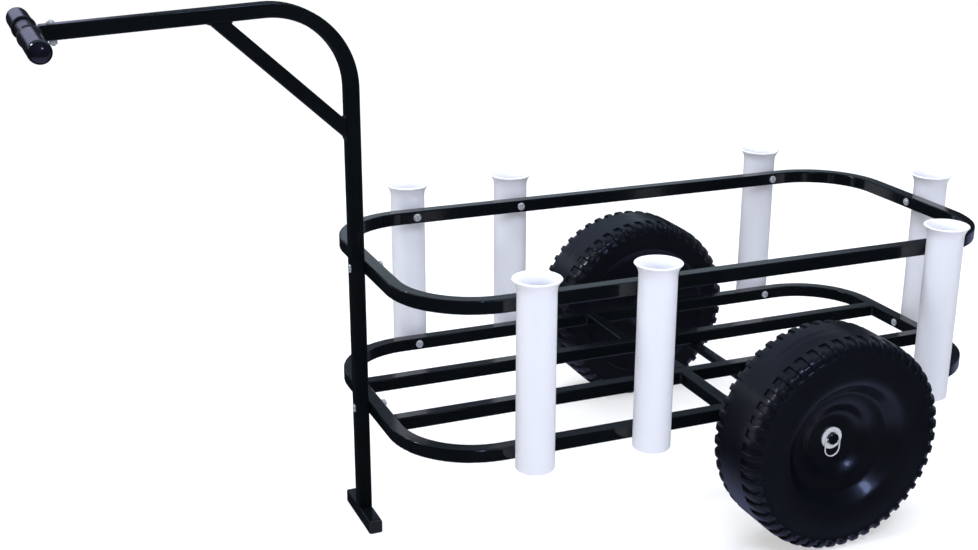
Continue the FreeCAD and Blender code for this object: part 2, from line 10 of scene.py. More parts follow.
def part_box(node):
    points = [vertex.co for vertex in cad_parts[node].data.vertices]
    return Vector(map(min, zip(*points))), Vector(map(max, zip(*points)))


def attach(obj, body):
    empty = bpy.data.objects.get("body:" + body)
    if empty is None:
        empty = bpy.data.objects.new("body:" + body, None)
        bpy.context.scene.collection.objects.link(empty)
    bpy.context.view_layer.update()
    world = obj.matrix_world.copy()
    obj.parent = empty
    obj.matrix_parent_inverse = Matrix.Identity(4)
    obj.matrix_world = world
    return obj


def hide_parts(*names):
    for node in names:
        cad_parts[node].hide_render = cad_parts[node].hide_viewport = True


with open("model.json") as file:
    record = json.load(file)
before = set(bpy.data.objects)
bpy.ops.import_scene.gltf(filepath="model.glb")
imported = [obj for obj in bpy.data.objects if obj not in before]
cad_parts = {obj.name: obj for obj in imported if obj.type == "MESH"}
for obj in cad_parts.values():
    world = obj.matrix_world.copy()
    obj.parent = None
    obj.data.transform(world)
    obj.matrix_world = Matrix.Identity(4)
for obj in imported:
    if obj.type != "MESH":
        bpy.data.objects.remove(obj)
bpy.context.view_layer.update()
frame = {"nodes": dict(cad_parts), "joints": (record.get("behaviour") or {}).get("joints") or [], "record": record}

RNG = random.Random(7)
MM = 0.001

# ---------- camera ----------
CAM_LOC = (-0.61649, -2.09145, 1.15486)
CAM_YAW = 0.42290
CAM_PITCH = 0.33993
CAM_ROLL = 0.01372
SENSOR = 36.0
LENS = 52.8688
LENS_SHIFT = (-0.055358, 0.025624)
CLIP_END = 200.0


def add_camera():
    """The photo's viewpoint: yaw from +Y towards +X, pitch below level, roll about the line of sight."""
    level = math.cos(CAM_PITCH)
    forward = Vector((math.sin(CAM_YAW) * level, math.cos(CAM_YAW) * level, -math.sin(CAM_PITCH)))
    right0 = Vector((math.cos(CAM_YAW), -math.sin(CAM_YAW), 0.0))
    up0 = right0.cross(forward)
    right = right0 * math.cos(CAM_ROLL) + up0 * math.sin(CAM_ROLL)
    up = up0 * math.cos(CAM_ROLL) - right0 * math.sin(CAM_ROLL)
    data = bpy.data.cameras.new("camera")
    data.sensor_width = SENSOR
    data.sensor_fit = "HORIZONTAL"
    data.lens = LENS
    data.shift_x, data.shift_y = LENS_SHIFT
    data.clip_end = CLIP_END
    cam = bpy.data.objects.new("camera", data)
    turn = Matrix((right, up, -forward)).transposed().to_4x4()
    cam.matrix_world = Matrix.Translation(Vector(CAM_LOC)) @ turn
    bpy.context.scene.collection.objects.link(cam)
    bpy.context.scene.camera = cam


add_camera()


# ---------- materials ----------
class Nodes:
    """Short calls for building one material's node tree."""

    def __init__(self, name):
        self.mat = bpy.data.materials.new(name)
        self.mat.use_nodes = True
        self.tree = self.mat.node_tree
        self.shader = self.tree.nodes["Principled BSDF"]
        coord = self.tree.nodes.new("ShaderNodeTexCoord")
        self.place = coord.outputs["Object"]

    def put(self, **values):
        for key, value in values.items():
            self.shader.inputs[key.replace("_", " ")].default_value = value

    def link(self, a, b):
        self.tree.links.new(a, b)

    def stretched(self, scale):
        node = self.tree.nodes.new("ShaderNodeMapping")
        node.inputs["Scale"].default_value = scale
        self.link(self.place, node.inputs["Vector"])
        return node.outputs["Vector"]

    def noise(self, scale, detail=3.0, rough=0.55, vector=None, distort=0.0):
        node = self.tree.nodes.new("ShaderNodeTexNoise")
        node.inputs["Scale"].default_value = scale
        node.inputs["Detail"].default_value = detail
        node.inputs["Roughness"].default_value = rough
        node.inputs["Distortion"].default_value = distort
        self.link(vector or self.place, node.inputs["Vector"])
        return node.outputs["Fac"]

    def cells(self, scale):
        node = self.tree.nodes.new("ShaderNodeTexVoronoi")
        node.inputs["Scale"].default_value = scale
        self.link(self.place, node.inputs["Vector"])
        return node.outputs["Distance"]

    def spread(self, value, lo, hi, from_lo=0.3, from_hi=0.7):
        node = self.tree.nodes.new("ShaderNodeMapRange")
        node.inputs["From Min"].default_value = from_lo
        node.inputs["From Max"].default_value = from_hi
        node.inputs["To Min"].default_value = lo
        node.inputs["To Max"].default_value = hi
        self.link(value, node.inputs["Value"])
        return node.outputs["Result"]

    def tones(self, value, low, high):
        """Colour that runs from low to high over the middle of a noise."""
        node = self.tree.nodes.new("ShaderNodeValToRGB")
        for element, at, colour in zip(node.color_ramp.elements, (0.3, 0.7), (low, high)):
            element.position = at
            element.color = (*colour, 1.0)
        self.link(value, node.inputs["Fac"])
        return node.outputs["Color"]

    def math(self, how, a, b):
        node = self.tree.nodes.new("ShaderNodeMath")
        node.operation = how
        for socket, value in zip(node.inputs, (a, b)):
            if isinstance(value, (int, float)):
                socket.default_value = value
            else:
                self.link(value, socket)
        return node.outputs["Value"]

    def mix(self, factor, a, b):
        node = self.tree.nodes.new("ShaderNodeMix")
        node.data_type = "RGBA"
        self.link(factor, node.inputs["Factor"])
        for key, value in (("A", a), ("B", b)):
            socket = [s for s in node.inputs if s.name == key and s.type == "RGBA"][0]
            if isinstance(value, tuple):
                socket.default_value = (*value, 1.0)
            else:
                self.link(value, socket)
        return [s for s in node.outputs if s.type == "RGBA"][0]

    def along(self, vector, axis):
        """The X, Y or Z part of a vector."""
        split = self.tree.nodes.new("ShaderNodeSeparateXYZ")
        self.link(vector, split.inputs["Vector"])
        return split.outputs[axis]

    def facing(self, axis):
        return self.along(self.tree.nodes.new("ShaderNodeNewGeometry").outputs["Normal"], axis)

    def bump(self, height, strength, distance, previous=None):
        node = self.tree.nodes.new("ShaderNodeBump")
        node.inputs["Strength"].default_value = strength
        node.inputs["Distance"].default_value = distance
        self.link(height, node.inputs["Height"])
        if previous is not None:
            self.link(previous, node.inputs["Normal"])
        return node.outputs["Normal"]

    def into(self, socket, value):
        self.link(value, self.shader.inputs[socket])


def gloss_paint(name, rough=(0.10, 0.19), dust=0.012, peel=0.04):
    """Glossy black enamel: orange peel, fine scuffs, a trace of dust on faces that look up."""
    n = Nodes(name)
    n.put(IOR=1.5, Specular_IOR_Level=0.38, Coat_Weight=0.16, Coat_Roughness=0.08)
    tone = n.tones(n.noise(9.0, 4.0), (0.0019, 0.0028, 0.0034), (0.0030, 0.0042, 0.0050))
    up = n.spread(n.facing("Z"), 0.0, dust, 0.5, 1.0)
    specks = n.spread(n.noise(420.0, 6.0, 0.8), 0.0, 1.0, 0.50, 0.74)
    drift = n.spread(n.noise(14.0, 3.0), 0.25, 1.0)
    dusty = n.math("MULTIPLY", up, n.math("MULTIPLY", specks, drift))
    n.into("Base Color", n.mix(dusty, tone, (0.34, 0.36, 0.37)))
    hair = n.noise(60.0, 8.0, 0.75, n.stretched((1.0, 7.0, 7.0)), 0.6)
    n.into("Roughness", n.math("ADD", n.spread(hair, *rough), n.math("MULTIPLY", dusty, 3.0)))
    skin = n.bump(n.noise(520.0, 2.0, 0.4), peel, 0.0004)
    n.into("Normal", n.bump(n.noise(45.0, 2.0, 0.4), 0.06, 0.0012, skin))
    return n.mat


def weld_paint(name):
    """The same enamel over a weld: thicker, with spatter."""
    n = Nodes(name)
    n.put(IOR=1.5, Coat_Weight=0.5, Coat_Roughness=0.08)
    n.into("Base Color", n.tones(n.noise(220.0), (0.0035, 0.0045, 0.005), (0.008, 0.009, 0.010)))
    n.into("Roughness", n.spread(n.noise(300.0, 5.0), 0.12, 0.28))
    n.into("Normal", n.bump(n.noise(600.0, 3.0, 0.6), 0.25, 0.0005))
    return n.mat


def wheel_plastic(name):
    """Blow-moulded black polyethylene: satin with a faint sheen, slow waves from moulding, a little dust."""
    n = Nodes(name)
    n.put(IOR=1.49, Specular_IOR_Level=0.42, Coat_Weight=0.16, Coat_Roughness=0.09)
    tone = n.tones(n.noise(11.0, 5.0, 0.6), (0.0026, 0.0033, 0.0056), (0.0036, 0.0045, 0.0073))
    specks = n.spread(n.noise(500.0, 5.0, 0.8), 0.0, 0.005, 0.5, 0.75)
    n.into("Base Color", n.mix(specks, tone, (0.30, 0.32, 0.36)))
    n.into("Roughness", n.spread(n.noise(24.0, 4.0, 0.55), 0.29, 0.35))
    grain = n.bump(n.noise(1300.0, 2.0, 0.5), 0.03, 0.0002)
    n.into("Normal", n.bump(n.noise(16.0, 1.0, 0.4), 0.05, 0.0020, grain))
    return n.mat


def white_pvc(name):
    """Extruded white PVC: slight gloss, faint draw lines along its length, handling marks."""
    n = Nodes(name)
    n.put(IOR=1.53, Subsurface_Weight=0.08, Subsurface_Scale=0.01, Subsurface_Radius=(1.0, 0.9, 0.85))
    tone = n.tones(n.noise(7.0, 4.0), (0.680, 0.688, 0.735), (0.687, 0.694, 0.741))
    scuff = n.spread(n.noise(90.0, 7.0, 0.8, n.stretched((1.6, 1.6, 0.35)), 0.8), 0.0, 0.012, 0.60, 0.76)
    n.into("Base Color", n.mix(scuff, tone, (0.52, 0.53, 0.58)))
    n.into("Roughness", n.spread(n.noise(40.0, 5.0), 0.30, 0.34))
    lines = n.bump(n.noise(240.0, 2.0, 0.5, n.stretched((1.0, 1.0, 0.03))), 0.04, 0.0003)
    n.into("Normal", n.bump(n.noise(700.0, 2.0), 0.03, 0.0002, lines))
    return n.mat


def soft_vinyl(name, ring_low, ring_high):
    """Dipped vinyl: black and glossy, but dull from ring_low to ring_high metres out from the middle."""
    n = Nodes(name)
    n.put(IOR=1.52, Specular_IOR_Level=0.60, Coat_Weight=0.08, Coat_Roughness=0.06)
    n.into("Base Color", n.tones(n.noise(30.0, 4.0), (0.0030, 0.0032, 0.0062), (0.0050, 0.0052, 0.0090)))
    away = n.math("ABSOLUTE", n.along(n.place, "Y"), 0.0)
    fade = 0.0004
    begun = n.spread(away, 0.0, 1.0, ring_low - fade, ring_low + fade)
    ring = n.math("MULTIPLY", begun, n.spread(away, 1.0, 0.0, ring_high - fade, ring_high + fade))
    polish = n.spread(n.noise(60.0, 5.0), 0.12, 0.20)
    n.into("Roughness", n.math("ADD", polish, n.math("MULTIPLY", ring, 0.65)))
    fine = n.bump(n.cells(900.0), 0.03, 0.0002)
    n.into("Normal", n.bump(n.noise(70.0, 2.0), 0.06, 0.0010, fine))
    return n.mat


def hard_plastic(name, low, high, rough=(0.35, 0.5)):
    """Moulded plastic with a fine grain."""
    n = Nodes(name)
    n.put(IOR=1.5)
    n.into("Base Color", n.tones(n.noise(80.0, 4.0), low, high))
    n.into("Roughness", n.spread(n.noise(160.0, 5.0), *rough))
    n.into("Normal", n.bump(n.noise(900.0, 2.0), 0.12, 0.0003))
    return n.mat


def plated(name, low, high, rough, metallic, grain=(1.0, 1.0, 1.0)):
    """Bright zinc or nickel plate: milky under the shine, with a fine directional grain."""
    n = Nodes(name)
    n.put(Metallic=metallic, IOR=2.0)
    n.into("Base Color", n.tones(n.noise(140.0, 5.0, 0.7), low, high))
    n.into("Roughness", n.spread(n.noise(260.0, 5.0, 0.7, n.stretched(grain)), *rough))
    n.into("Normal", n.bump(n.noise(900.0, 3.0, 0.6, n.stretched(grain)), 0.12, 0.0002))
    return n.mat


PAINT = gloss_paint("frame_paint")
BAR_PAINT = gloss_paint("bar_paint", (0.16, 0.30), 0.03, 0.08)
AXLE_PAINT = gloss_paint("axle_paint", (0.18, 0.32), 0.04, 0.05)
WELD = weld_paint("weld_paint")
WHEEL = wheel_plastic("wheel_plastic")
PVC = white_pvc("holder_white")
VINYL = soft_vinyl("grip_vinyl", 0.0, 0.001)
PLUG = hard_plastic("plug_plastic", (0.008, 0.009, 0.010), (0.014, 0.015, 0.017))
NYLON = hard_plastic("bush_nylon", (0.52, 0.52, 0.49), (0.62, 0.62, 0.58), (0.4, 0.55))
ZINC = plated("zinc", (0.50, 0.54, 0.57), (0.68, 0.70, 0.72), (0.20, 0.34), 0.60)
NICKEL = plated("washer_nickel", (0.74, 0.77, 0.79), (0.86, 0.88, 0.89), (0.20, 0.32), 0.20, (6.0, 1.0, 6.0))
STEEL = plated("ring_wire", (0.76, 0.78, 0.80), (0.88, 0.89, 0.90), (0.14, 0.24), 0.25)

SLOT_MATERIAL = {
    "frame_paint": PAINT, "bar_paint": BAR_PAINT, "axle_paint": AXLE_PAINT, "holder_white": PVC,
    "wheel_plastic": WHEEL, "grip_vinyl": VINYL, "plug_plastic": PLUG, "bush_nylon": NYLON,
    "zinc": ZINC, "ring_wire": STEEL,
}


def dress_cad():
    """Every CAD node takes the procedural material of its slot in the record."""
    for entry in frame["record"]["subparts"]:
        node = frame["nodes"][entry["node"]]
        node.data.materials.clear()
        node.data.materials.append(SLOT_MATERIAL[entry["material_slot"]])


dress_cad()

# ---------- piece helpers ----------
TAU = 2.0 * math.pi
SHARP = math.radians(32.0)
UP = Vector((0, 0, 1))


def add_piece(name, verts, faces, material, body, stands_for=(), sharp=SHARP):
    """A closed mesh, smooth except across edges sharper than the given angle."""
    mesh = bpy.data.meshes.new(name)
    mesh.from_pydata([tuple(v) for v in verts], [], faces)
    mesh.validate()
    bm = bmesh.new()
    bm.from_mesh(mesh)
    bmesh.ops.recalc_face_normals(bm, faces=bm.faces)
    bm.to_mesh(mesh)
    bm.free()
    mesh.polygons.foreach_set("use_smooth", [True] * len(mesh.polygons))
    mesh.set_sharp_from_angle(angle=sharp)
    mesh.materials.append(material)
    piece = bpy.data.objects.new(name, mesh)
    bpy.context.scene.collection.objects.link(piece)
    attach(piece, body)
    if stands_for:
        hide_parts(*stands_for)
    return piece


class Build:
    """Collects closed shells, in metres, for one piece."""

    def __init__(self):
        self.verts = []
        self.faces = []

    def shell(self, verts, faces):
        base = len(self.verts)
        self.verts += [Vector(v) for v in verts]
        self.faces += [tuple(i + base for i in f) for f in faces]

    def lathe(self, profile, place, segments=64):
        """Closed profile of (radius, along) in mm; radius 0 makes a pole. place maps local to world."""
        verts, rows = [], []
        for radius, along in profile:
            if radius == 0.0:
                rows.append([len(verts)] * segments)
                verts.append(place @ Vector((0.0, 0.0, along * MM)))
            else:
                rows.append(range(len(verts), len(verts) + segments))
                for k in range(segments):
                    a = TAU * k / segments
                    at = Vector((radius * math.cos(a), radius * math.sin(a), along)) * MM
                    verts.append(place @ at)
        closed = profile[0][0] != 0.0
        faces = []
        for i in range(len(rows) - (0 if closed else 1)):
            lower, upper = rows[i], rows[(i + 1) % len(rows)]
            for k in range(segments):
                m = (k + 1) % segments
                quad = (lower[k], lower[m], upper[m], upper[k])
                face = tuple(dict.fromkeys(quad))
                if len(face) > 2:
                    faces.append(face)
        self.shell(verts, faces)

    def grid_tube(self, rings):
        """Skin over rings of equal point count, capped at both ends."""
        count = len(rings[0])
        verts = [v for ring in rings for v in ring]
        faces = []
        for i in range(len(rings) - 1):
            for k in range(count):
                m = (k + 1) % count
                faces.append((i * count + k, i * count + m, (i + 1) * count + m, (i + 1) * count + k))
        faces.append(tuple(reversed(range(count))))
        last = (len(rings) - 1) * count
        faces.append(tuple(range(last, last + count)))
        self.shell(verts, faces)

    def loop_tube(self, path, radius, sides=14):
        """Round wire along a closed path of world points in one plane."""
        count = len(path)
        flat = (path[1] - path[0]).cross(path[count // 3] - path[0]).normalized()
        verts, faces = [], []
        for i in range(count):
            ahead = (path[(i + 1) % count] - path[i - 1]).normalized()
            out = ahead.cross(flat)
            for k in range(sides):
                a = TAU * k / sides
                verts.append(path[i] + (out * math.cos(a) + flat * math.sin(a)) * radius)
        for i in range(count):
            n = (i + 1) % count
            for k in range(sides):
                m = (k + 1) % sides
                faces.append((i * sides + k, i * sides + m, n * sides + m, n * sides + k))
        self.shell(verts, faces)

    def done(self, name, material, body, stands_for=(), sharp=SHARP):
        return add_piece(name, self.verts, self.faces, material, body, stands_for, sharp)


def softened(profile, cuts):
    """Rounds a closed profile's corners: cuts gives each corner's distance, 0 to leave it sharp."""
    out = []
    n = len(profile)
    for i, (point, cut) in enumerate(zip(profile, cuts)):
        if cut == 0:
            out.append(point)
            continue
        here = Vector(point)
        before, after = Vector(profile[i - 1]), Vector(profile[(i + 1) % n])
        a = here + (before - here).normalized() * min(cut, (before - here).length * 0.49)
        b = here + (after - here).normalized() * min(cut, (after - here).length * 0.49)
        for k in range(6):
            t = k / 5.0
            out.append(tuple(a * (1 - t) ** 2 + here * 2 * t * (1 - t) + b * t * t))
    return out


def frame_at(origin, along, side=(0, 1, 0)):
    """Matrix whose local Z is along and whose local X is nearest to side."""
    z = Vector(along).normalized()
    x = (Vector(side) - z * Vector(side).dot(z)).normalized()
    y = z.cross(x)
    return Matrix.Translation(Vector(origin)) @ Matrix((x, y, z)).transposed().to_4x4()


def joint_place(body):
    """Where the joint that carries a body sits."""
    joint = [j for j in frame["joints"] if j["child"] == body][0]
    return Vector(joint["pos_m"])


def islands(node):
    """(low corner, high corner, points) of each separate solid in a CAD node."""
    bm = bmesh.new()
    bm.from_mesh(frame["nodes"][node].data)
    bmesh.ops.remove_doubles(bm, verts=bm.verts, dist=1e-6)
    seen, out = set(), []
    for start in bm.verts:
        if start.index in seen:
            continue
        stack, found = [start], []
        seen.add(start.index)
        while stack:
            v = stack.pop()
            found.append(v.co.copy())
            for e in v.link_edges:
                w = e.other_vert(v)
                if w.index not in seen:
                    seen.add(w.index)
                    stack.append(w)
        low = Vector([min(c[i] for c in found) for i in range(3)])
        high = Vector([max(c[i] for c in found) for i in range(3)])
        out.append((low, high, found))
    bm.free()
    return sorted(out, key=lambda item: tuple(round(c, 4) for c in item[0]))


# ---------- wheels ----------
PITCHES = 48
# angular places within one pitch, in pitches, close together at the lugs' walls
STATIONS = (0.0, 0.17, 0.20, 0.22, 0.24, 0.26, 0.28, 0.30, 0.33,
            0.5, 0.67, 0.70, 0.72, 0.74, 0.76, 0.78, 0.80, 0.83)
WALL_AT = 0.25             # pocket half width, in pitches
# (distance beyond WALL_AT in pitches, share of the pocket's depth) down a lug's wall
WALL_STEPS = ((-0.02, 1.0), (0.0, 0.95), (0.02, 0.42), (0.04, 0.12), (0.06, 0.03))
COARSE = 4                 # fine angular steps to one coarse step
LUG_RADIUS = 180.175
PARTING = 0.06             # depth of the mould's parting line
WHEEL_SHARP = math.radians(38.0)
# tread half, from the middle outwards: (radius, u) on the lug tops, (radius, u) on the pocket floor;
# u is the distance from the tread's middle plane, towards the dish in OUTER_DISH
TREAD = [
    ((180.175, 0.8), None), ((180.175, 10.0), None), ((180.175, 20.0), None),
    ((180.175, 29.8), None), ((180.175, 30.5), None), ((180.05, 31.0), None),
    ((180.1, 31.35), (179.0, 31.25)), ((180.15, 31.8), (176.5, 31.5)),
    ((180.175, 32.6), (175.95, 32.3)), ((180.175, 36.0), (175.875, 36.0)),
    ((180.15, 40.0), (175.7, 40.0)), ((180.0, 43.0), (175.3, 43.5)),
    ((179.6, 46.0), (174.7, 46.6)), ((178.9, 49.0), (173.8, 49.6)),
    ((177.8, 52.0), (172.6, 52.2)), ((176.2, 54.6), (171.4, 54.0)),
    ((173.9, 57.0), (170.2, 55.2)), ((171.2, 58.8), (168.5, 56.1)),
    ((168.3, 60.0), (166.2, 56.9)), ((165.7, 60.7), (163.8, 58.0)),
    ((163.2, 60.95), (162.0, 59.2)), ((161.4, 60.9), (160.9, 60.4)),
    ((160.2, 60.7), None), ((158.6, 60.5), None),
]
OUTER_DISH = [
    (152.0, 60.9), (145.0, 61.4), (138.0, 61.75), (131.0, 61.95), (125.0, 61.9), (119.0, 61.5),
    (114.0, 60.7), (110.0, 59.5), (106.8, 57.8), (104.0, 55.1), (101.2, 52.0), (98.8, 49.3),
    (96.4, 46.6), (94.0, 43.95), (91.8, 41.5), (89.8, 39.4), (88.2, 37.9), (87.0, 37.05),
    (86.1, 36.75), (85.6, 36.7), (85.0, 36.45), (83.6, 36.2), (80.0, 35.7), (75.0, 34.8),
    (70.0, 33.5), (66.0, 31.9), (63.0, 30.1), (60.0, 27.6), (57.5, 25.1), (55.0, 22.4),
    (52.5, 19.8), (50.0, 17.7), (47.0, 15.8), (43.0, 14.3), (39.0, 13.6), (35.0, 13.4), (28.0, 13.4),
    (20.0, 13.4), (14.2, 13.4), (13.2, 13.3), (12.72, 12.7),
]
INNER_DISH = [
    (152.0, -60.9), (144.0, -61.0), (136.0, -61.0), (130.0, -61.0), (128.6, -60.7), (127.4, -60.0),
    (126.2, -58.6), (125.2, -57.2), (124.0, -56.4), (122.0, -55.6), (118.0, -54.6), (112.0, -53.8),
    (100.0, -53.0), (85.0, -52.4), (70.0, -52.1), (58.0, -52.0), (48.0, -52.0), (40.0, -52.0),
    (35.5, -52.1), (32.5, -52.7), (29.5, -53.8), (27.0, -55.4), (25.2, -56.8), (24.0, -57.5),
    (23.0, -57.7), (18.0, -57.7), (14.2, -57.7), (13.2, -57.6), (12.72, -57.0),
]


def pocket_depth(station, row):
    """1 in a pocket, 0 on a lug, with a steep wall between."""
    away = abs((station - 0.5 * row + 0.5) % 1.0 - 0.5)
    for reach, depth in WALL_STEPS:
        if away < WALL_AT + reach:
            return depth
    return 0.0


def add_wheel(name, node, body, side):
    """One revolved skin. side is -1 for the near wheel, whose dish faces -Y."""
    low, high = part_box(node)
    axis = (low + high) / 2.0
    mid = Vector((axis.x, joint_place(body).y, axis.z))
    fine = [(i + s) / PITCHES * TAU for i in range(PITCHES) for s in STATIONS]
    coarse = [fine[k] for k in range(0, len(fine), COARSE)]
    verts, faces = [], []

    def at(radius, u, a):
        return mid + Vector((radius * math.sin(a), side * u, radius * math.cos(a))) * MM

    def row_of(points):
        start = len(verts)
        verts.extend(points)
        return list(range(start, len(verts)))

    def joined(a, b):
        n = len(a)
        for k in range(n):
            m = (k + 1) % n
            faces.append((a[k], a[m], b[m], b[k]))

    def tread_row(entry, half):
        top, floor = entry
        points = []
        for k, a in enumerate(fine):
            r, u = top
            if floor is not None:
                depth = pocket_depth(STATIONS[k % len(STATIONS)], 0 if half > 0 else 1)
                r += (floor[0] - r) * depth
                u += (floor[1] - u) * depth
            points.append(at(r, u * half, a))
        return row_of(points)

    rows = [tread_row(e, -1) for e in reversed(TREAD)]
    rows.append(row_of([at(LUG_RADIUS - PARTING, 0.0, a) for a in fine]))
    rows += [tread_row(e, 1) for e in TREAD]
    for a, b in zip(rows, rows[1:]):
        joined(a, b)

    def fan(fine_row, coarse_row):
        """Joins a row of fine steps to a row of coarse ones."""
        n = len(coarse_row)
        for k in range(n):
            m = (k + 1) % n
            run = [fine_row[(k * COARSE + j) % len(fine_row)] for j in range(COARSE + 1)]
            faces.append((*run, coarse_row[m], coarse_row[k]))

    outer = [row_of([at(r, u, a) for a in coarse]) for r, u in OUTER_DISH]
    inner = [row_of([at(r, u, a) for a in coarse]) for r, u in INNER_DISH]
    fan(rows[-1], outer[0])
    fan(rows[0], inner[0])
    for a, b in zip(outer, outer[1:]):
        joined(a, b)
    for a, b in zip(inner, inner[1:]):
        joined(a, b)
    joined(outer[-1], inner[-1])
    add_piece(name, verts, faces, WHEEL, body, (node,), WHEEL_SHARP)


add_wheel("wheel_near_skin", "wheel_near", "near_wheel", -1)
add_wheel("wheel_far_skin", "wheel_far", "far_wheel", 1)

# ---------- T bar grips ----------
DROOP = math.radians(3.2)  # how far the handle droops past level
BEAD_PROUD = 1.35          # how far the grips' inner bead stands out
BEAD_LONG = 5.6
BEAD_EASE = 16.0           # from the inner end to where the plain length of the sleeve begins
DOME = 15.5                # length of the rounded outer end
DOME_STEPS = 14
SWELL = 0.05
SWELL_STEPS = 9
GRIP_ALONG = Vector((-math.cos(DROOP), 0.0, -math.sin(DROOP)))
GRIP_UP = Vector((-math.sin(DROOP), 0.0, math.cos(DROOP)))
T_LOW, T_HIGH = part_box("t_bar")
BAR_R = (T_HIGH.z - T_LOW.z) / 2.0 / MM
T_AXIS = Vector((T_LOW.x + BAR_R * MM, 0.0, (T_LOW.z + T_HIGH.z) / 2.0))


def add_grip(name, node, side):
    """Dipped vinyl sleeve: rolled flange at the inner end, slight swell, full round dome."""
    low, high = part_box(node)
    inner, outer = sorted((abs(low.y) / MM, abs(high.y) / MM))
    flange = (high.z - low.z) / 2.0 / MM
    r = flange - BEAD_PROUD
    bore = BAR_R + 0.03
    shoulder = outer - DOME
    inside = [(0.0, outer - 7.5), (bore - 2.0, outer - 7.2), (bore, outer - 8.5)]
    bead = [(bore, inner + 0.6), (bore + 0.7, inner), (flange - 1.6, inner + 0.05),
            (flange - 0.7, inner + 0.5), (flange - 0.12, inner + 1.5), (flange, inner + 2.6),
            (flange - 0.12, inner + 3.7), (flange - 0.55, inner + 4.7), (r + 0.15, inner + 5.5),
            (r - 0.15, inner + 6.1), (r - 0.25, inner + 7.0), (r - 0.15, inner + 9.0),
            (r - SWELL, inner + BEAD_EASE)]
    profile = inside + bead
    reach = shoulder - inner - 24.0
    for k in range(1, SWELL_STEPS):
        t = k / SWELL_STEPS
        profile.append((r - SWELL + SWELL * math.sin(t * math.pi), inner + BEAD_EASE + reach * t))
    profile += [(r, shoulder - 3.0), (r, shoulder)]
    for k in range(1, DOME_STEPS):
        a = math.radians(90.0 * k / DOME_STEPS)
        profile.append((r * math.cos(a) ** 0.92, shoulder + (DOME - 0.3) * math.sin(a)))
    profile.append((0.0, outer - 0.3))
    build = Build()
    build.lathe(profile, frame_at(T_AXIS, (0, side, 0), (0, 0, 1)), 80)
    vinyl = soft_vinyl(name + "_skin", (inner - 0.5) * MM, (inner + BEAD_LONG) * MM)
    build.done(name, vinyl, "frame", (node,), math.radians(55.0))


add_grip("grip_near_vinyl", "grip_near", -1)
add_grip("grip_far_vinyl", "grip_far", 1)


# ---------- fasteners ----------
TUBE_HALF = 11.1           # half the outside of the frame tube
M6_THREAD = (2.95, 1.0)    # radius and pitch
M8_THREAD = (3.95, 1.25)
M6_FLATS = 10.0
M8_FLATS = 13.0
M6_WASHER = 1.4
M6_NUT = 5.2
TAIL = 1.9                 # thread left showing past a nut
SCREW_HEAD = 3.6           # height of a holder screw's head
HEX_STEPS = 72
HOLE_EDGE = 0.35           # chamfer at both ends of a nut's hole


def nut_rings(place, flats, low, high, hole):
    """Hexagonal nut with conically chamfered corners and a hole, as rings that close on themselves."""
    def side_r(a):
        return flats / 2.0 / math.cos((a + math.pi / 6.0) % (math.pi / 3.0) - math.pi / 6.0)

    crown = flats / 2.0 * 0.965
    slope = math.tan(math.radians(30.0))
    plan = (
        lambda a: (crown, low),
        lambda a: (side_r(a), low + (side_r(a) - crown) * slope),
        lambda a: (side_r(a), high - (side_r(a) - crown) * slope),
        lambda a: (crown, high),
        lambda a: (hole + HOLE_EDGE, high),
        lambda a: (hole, high - HOLE_EDGE),
        lambda a: (hole, low + HOLE_EDGE),
        lambda a: (hole + HOLE_EDGE, low),
    )
    rings = []
    for rule in plan:
        ring = []
        for k in range(HEX_STEPS):
            a = TAU * k / HEX_STEPS
            radius, along = rule(a)
            ring.append(place @ (Vector((radius * math.cos(a), radius * math.sin(a), along)) * MM))
        rings.append(ring)
    return rings


def add_nut(build, place, flats, low, high, hole):
    rings = nut_rings(place, flats, low, high, hole)
    count = len(rings[0])
    verts = [v for ring in rings for v in ring]
    faces = []
    for i in range(len(rings)):
        j = (i + 1) % len(rings)
        for k in range(count):
            m = (k + 1) % count
            faces.append((i * count + k, i * count + m, j * count + m, j * count + k))
    build.shell(verts, faces)


def add_thread(build, place, thread, low, high):
    """Rod with a helical V thread and a pointed-off end at high. thread is (radius, pitch)."""
    radius, pitch = thread
    depth = 0.54 * pitch
    steps = 28
    rows = max(8, int((high - low) / pitch * 8))
    rings = []
    for i in range(rows + 1):
        along = low + (high - low) * i / rows
        ring = []
        for k in range(steps):
            a = TAU * k / steps
            phase = (along / pitch - k / steps) % 1.0
            groove = abs(phase - 0.5) * 2.0
            r = radius - depth * max(0.0, groove * 1.25 - 0.25)
            end = min(1.0, (high - along) / 0.8)
            r = min(r, radius - depth * (1.0 - end))
            ring.append(place @ (Vector((r * math.cos(a), r * math.sin(a), along)) * MM))
        rings.append(ring)
    build.grid_tube(rings)


def add_disc(build, place, radius, low, high, hole, edge=0.3):
    """Flat washer with softened edges."""
    flat = [(hole, low), (radius, low), (radius, high), (hole, high)]
    build.lathe(softened(flat, (edge,) * 4), place)


